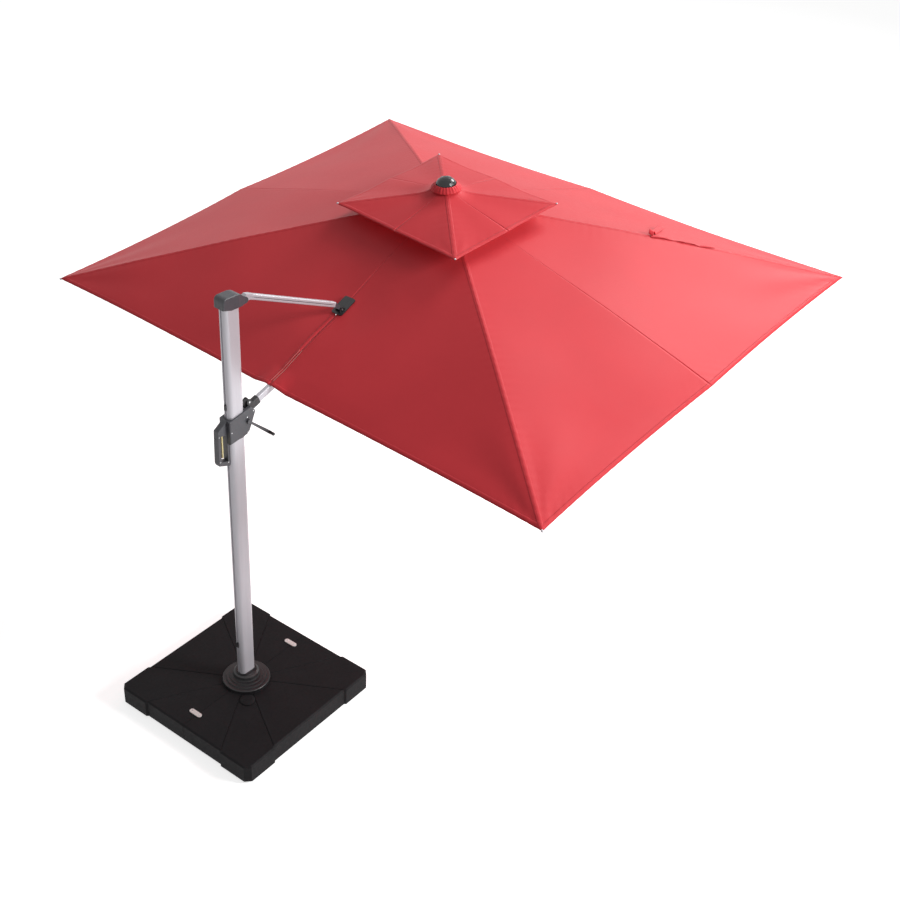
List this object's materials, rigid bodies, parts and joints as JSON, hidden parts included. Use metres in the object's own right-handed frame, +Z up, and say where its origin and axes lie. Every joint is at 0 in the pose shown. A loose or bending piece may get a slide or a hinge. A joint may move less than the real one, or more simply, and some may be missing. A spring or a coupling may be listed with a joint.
{
  "type": "patio umbrella with base",
  "caption": "Crank-opened cantilever patio umbrella: square vented canopy hung from a boom and upper arm on a swivelling mast, on a square filled base with filler caps.",
  "frame": {"origin": "middle of the base's underside, on the floor, on the mast's turning axis", "axes": "+Z up, +X from the mast towards the canopy, +Y to the left of that"},
  "size_m": [3.7293, 3.66, 2.8634],
  "materials": {
    "tank": "charcoal moulded plastic, fine grain",
    "black": "black moulded plastic",
    "trim": "dark blue-grey moulded plastic",
    "metal": "champagne grey powder coat",
    "frame": "powder-coated aluminium",
    "steel": "zinc-plated steel",
    "cream": "cream plastic",
    "gloss": "gloss black plastic",
    "cloth": "red polyester canopy cloth"
  },
  "bodies": {
    "base": {"base_half_left": "tank", "base_half_right": "tank", "bridge_plate_front": "steel", "bridge_plate_rear": "steel", "cross_frame": "steel", "mast_spigot": "steel"},
    "cap_front": {"filler_cap_front": "tank"},
    "cap_rear": {"filler_cap_rear": "tank"},
    "mast": {"mast_tube": "metal", "foot_bush": "black", "flange_cover": "black", "track_stop_upper": "black", "track_stop_lower": "black", "head_cap_left": "trim", "head_cap_right": "trim", "head_pin": "steel"},
    "arm": {"arm_tube": "metal", "arm_end": "trim"},
    "boom": {"boom_tube": "metal", "boom_collar": "black", "boom_bracket": "black", "bracket_pin": "steel", "hub_block": "black", "hub_crown": "black", "finial": "gloss", "canopy_panel_front": "cloth", "canopy_panel_left": "cloth", "canopy_panel_mast": "cloth", "canopy_panel_right": "cloth", "vent_canopy": "cloth"},
    "slider": {"slider_shell_left": "trim", "slider_shell_right": "trim", "slider_liner": "black", "slider_pin": "steel"},
    "lever": {"grip_lever": "cream"},
    "lock": {"lock_pin": "steel"},
    "crank": {"crank_arm": "trim"},
    "knob": {"crank_knob": "black"},
    "rib_1": {"rib_1": "frame"},
    "strut_1": {"strut_1": "frame"},
    "rib_2": {"rib_2": "frame"},
    "strut_2": {"strut_2": "frame"},
    "rib_3": {"rib_3": "frame"},
    "strut_3": {"strut_3": "frame"},
    "rib_4": {"rib_4": "frame"},
    "strut_4": {"strut_4": "frame"},
    "rib_5": {"rib_5": "frame"},
    "strut_5": {"strut_5": "frame"},
    "rib_6": {"rib_6": "frame"},
    "strut_6": {"strut_6": "frame"},
    "rib_7": {"rib_7": "frame"},
    "strut_7": {"strut_7": "frame"},
    "rib_8": {"rib_8": "frame"},
    "strut_8": {"strut_8": "frame"},
    "runner": {"runner": "black"},
    "vent_rod_1": {"vent_rod_1": "frame"},
    "vent_rod_2": {"vent_rod_2": "frame"},
    "vent_rod_3": {"vent_rod_3": "frame"},
    "vent_rod_4": {"vent_rod_4": "frame"}
  },
  "joints": [
    {"name": "mast_swivel", "type": "hinge", "parent": "base", "child": "mast", "pos_m": [0, 0, 0.15], "axis": [0, 0, 1], "continuous": true},
    {"name": "filler_cap_front_turn", "type": "hinge", "parent": "base", "child": "cap_front", "pos_m": [-0.12447, -0.14578, 0.14], "axis": [0, 0, 1], "continuous": true},
    {"name": "filler_cap_rear_turn", "type": "hinge", "parent": "base", "child": "cap_rear", "pos_m": [0.12447, 0.14578, 0.14], "axis": [0, 0, 1], "continuous": true},
    {"name": "arm_fold", "type": "hinge", "parent": "mast", "child": "arm", "pos_m": [0.095, 0, 2.637], "axis": [0, 1, 0], "range_deg": [-2, 53]},
    {"name": "boom_fold", "type": "hinge", "parent": "arm", "child": "boom", "pos_m": [0.78499, 0, 2.33798], "axis": [0, 1, 0], "range_deg": [-107, 5]},
    {"name": "slider_fold", "type": "hinge", "parent": "boom", "child": "slider", "pos_m": [0.095, 0, 2.03897], "axis": [0, 1, 0], "range_deg": [-3, 54]},
    {"name": "grip_squeeze", "type": "hinge", "parent": "slider", "child": "lever", "pos_m": [-0.096, 0, 1.943], "axis": [0, 1, 0], "range_deg": [0, 6], "stiffness_Nm_per_rad": 4},
    {"name": "lock_pull", "type": "slide", "parent": "slider", "child": "lock", "axis": [-1, 0, 0], "range_m": [0, 0.0045]},
    {"name": "crank_turn", "type": "hinge", "parent": "slider", "child": "crank", "pos_m": [0.061, -0.043, 1.948], "axis": [0, 1, 0], "continuous": true},
    {"name": "knob_spin", "type": "hinge", "parent": "crank", "child": "knob", "pos_m": [0.20256, -0.06, 1.81829], "axis": [0, 1, 0], "continuous": true},
    {"name": "canopy_fold", "type": "hinge", "parent": "boom", "child": "rib_1", "pos_m": [1.73853, 0, 2.70496], "axis": [0, 1, 0], "range_deg": [0, 68], "deforming": ["canopy_panel_front", "canopy_panel_left", "canopy_panel_mast", "canopy_panel_right", "vent_canopy"]},
    {"name": "strut_1_fold", "type": "hinge", "parent": "rib_1", "child": "strut_1", "pos_m": [2.08784, 0, 2.6179], "axis": [0, 1, 0], "range_deg": [-138, 2]},
    {"name": "runner_level", "type": "hinge", "parent": "strut_1", "child": "runner", "pos_m": [1.76429, 0, 2.46005], "axis": [0, 1, 0], "range_deg": [-1, 69]},
    {"name": "rib_2_fold", "type": "hinge", "parent": "boom", "child": "rib_2", "pos_m": [1.7107, 0.05843, 2.70203], "axis": [-0.7748, 0.627, -0.0815], "range_deg": [-1, 69]},
    {"name": "strut_2_fold", "type": "hinge", "parent": "rib_2", "child": "strut_2", "pos_m": [1.93451, 0.32198, 2.60177], "axis": [-0.7748, 0.627, -0.0815], "range_deg": [-138, 2]},
    {"name": "rib_3_fold", "type": "hinge", "parent": "boom", "child": "rib_3", "pos_m": [1.66394, 0.075, 2.69711], "axis": [-0.9945, 0, -0.1046], "range_deg": [-1, 69]},
    {"name": "strut_3_fold", "type": "hinge", "parent": "rib_3", "child": "strut_3", "pos_m": [1.67682, 0.41329, 2.57466], "axis": [-0.9945, 0, -0.1046], "range_deg": [-138, 2]},
    {"name": "rib_4_fold", "type": "hinge", "parent": "boom", "child": "rib_4", "pos_m": [1.61718, 0.05843, 2.69219], "axis": [-0.7748, -0.627, -0.0815], "range_deg": [-1, 69]},
    {"name": "strut_4_fold", "type": "hinge", "parent": "rib_4", "child": "strut_4", "pos_m": [1.41913, 0.32198, 2.54755], "axis": [-0.7748, -0.627, -0.0815], "range_deg": [-138, 2]},
    {"name": "rib_5_fold", "type": "hinge", "parent": "boom", "child": "rib_5", "pos_m": [1.58935, 0.035, 2.68926], "axis": [0, -1, 0], "range_deg": [-1, 69]},
    {"name": "strut_5_fold", "type": "hinge", "parent": "rib_5", "child": "strut_5", "pos_m": [1.2658, 0.035, 2.53142], "axis": [0, -1, 0], "range_deg": [-138, 2]},
    {"name": "rib_6_fold", "type": "hinge", "parent": "boom", "child": "rib_6", "pos_m": [1.61718, -0.05843, 2.69219], "axis": [0.7748, -0.627, 0.0815], "range_deg": [-1, 69]},
    {"name": "strut_6_fold", "type": "hinge", "parent": "rib_6", "child": "strut_6", "pos_m": [1.41913, -0.32198, 2.54755], "axis": [0.7748, -0.627, 0.0815], "range_deg": [-138, 2]},
    {"name": "rib_7_fold", "type": "hinge", "parent": "boom", "child": "rib_7", "pos_m": [1.66394, -0.075, 2.69711], "axis": [0.9945, 0, 0.1046], "range_deg": [-1, 69]},
    {"name": "strut_7_fold", "type": "hinge", "parent": "rib_7", "child": "strut_7", "pos_m": [1.67682, -0.41329, 2.57466], "axis": [0.9945, 0, 0.1046], "range_deg": [-138, 2]},
    {"name": "rib_8_fold", "type": "hinge", "parent": "boom", "child": "rib_8", "pos_m": [1.7107, -0.05843, 2.70203], "axis": [0.7748, 0.627, 0.0815], "range_deg": [-1, 69]},
    {"name": "strut_8_fold", "type": "hinge", "parent": "rib_8", "child": "strut_8", "pos_m": [1.93451, -0.32198, 2.60177], "axis": [0.7748, 0.627, 0.0815], "range_deg": [-138, 2]},
    {"name": "vent_rod_1_fold", "type": "hinge", "parent": "boom", "child": "vent_rod_1", "pos_m": [1.73254, 0.07372, 2.75963], "axis": [-0.6983, 0.7121, -0.0735], "range_deg": [-1, 69]},
    {"name": "vent_rod_2_fold", "type": "hinge", "parent": "boom", "child": "vent_rod_2", "pos_m": [1.59558, 0.08404, 2.74522], "axis": [-0.796, -0.5995, -0.0837], "range_deg": [-1, 69]},
    {"name": "vent_rod_3_fold", "type": "hinge", "parent": "boom", "child": "vent_rod_3", "pos_m": [1.58408, -0.07397, 2.74401], "axis": [0.7007, -0.7097, 0.0737], "range_deg": [-1, 69]},
    {"name": "vent_rod_4_fold", "type": "hinge", "parent": "boom", "child": "vent_rod_4", "pos_m": [1.72111, -0.08379, 2.75843], "axis": [0.7937, 0.6026, 0.0835], "range_deg": [-1, 69]}
  ],
  "couplings": [
    {"joint": "boom_fold", "follows": "arm_fold", "ratio": -2},
    {"joint": "slider_fold", "follows": "arm_fold", "ratio": 1},
    {"joint": "lock_pull", "follows": "grip_squeeze", "m_per_rad": 0.04},
    {"joint": "strut_1_fold", "follows": "canopy_fold", "ratio": -2},
    {"joint": "runner_level", "follows": "canopy_fold", "ratio": 1},
    {"joint": "rib_2_fold", "follows": "canopy_fold", "ratio": 1},
    {"joint": "strut_2_fold", "follows": "canopy_fold", "ratio": -2},
    {"joint": "rib_3_fold", "follows": "canopy_fold", "ratio": 1},
    {"joint": "strut_3_fold", "follows": "canopy_fold", "ratio": -2},
    {"joint": "rib_4_fold", "follows": "canopy_fold", "ratio": 1},
    {"joint": "strut_4_fold", "follows": "canopy_fold", "ratio": -2},
    {"joint": "rib_5_fold", "follows": "canopy_fold", "ratio": 1},
    {"joint": "strut_5_fold", "follows": "canopy_fold", "ratio": -2},
    {"joint": "rib_6_fold", "follows": "canopy_fold", "ratio": 1},
    {"joint": "strut_6_fold", "follows": "canopy_fold", "ratio": -2},
    {"joint": "rib_7_fold", "follows": "canopy_fold", "ratio": 1},
    {"joint": "strut_7_fold", "follows": "canopy_fold", "ratio": -2},
    {"joint": "rib_8_fold", "follows": "canopy_fold", "ratio": 1},
    {"joint": "strut_8_fold", "follows": "canopy_fold", "ratio": -2},
    {"joint": "vent_rod_1_fold", "follows": "canopy_fold", "ratio": 1},
    {"joint": "vent_rod_2_fold", "follows": "canopy_fold", "ratio": 1},
    {"joint": "vent_rod_3_fold", "follows": "canopy_fold", "ratio": 1},
    {"joint": "vent_rod_4_fold", "follows": "canopy_fold", "ratio": 1}
  ]
}
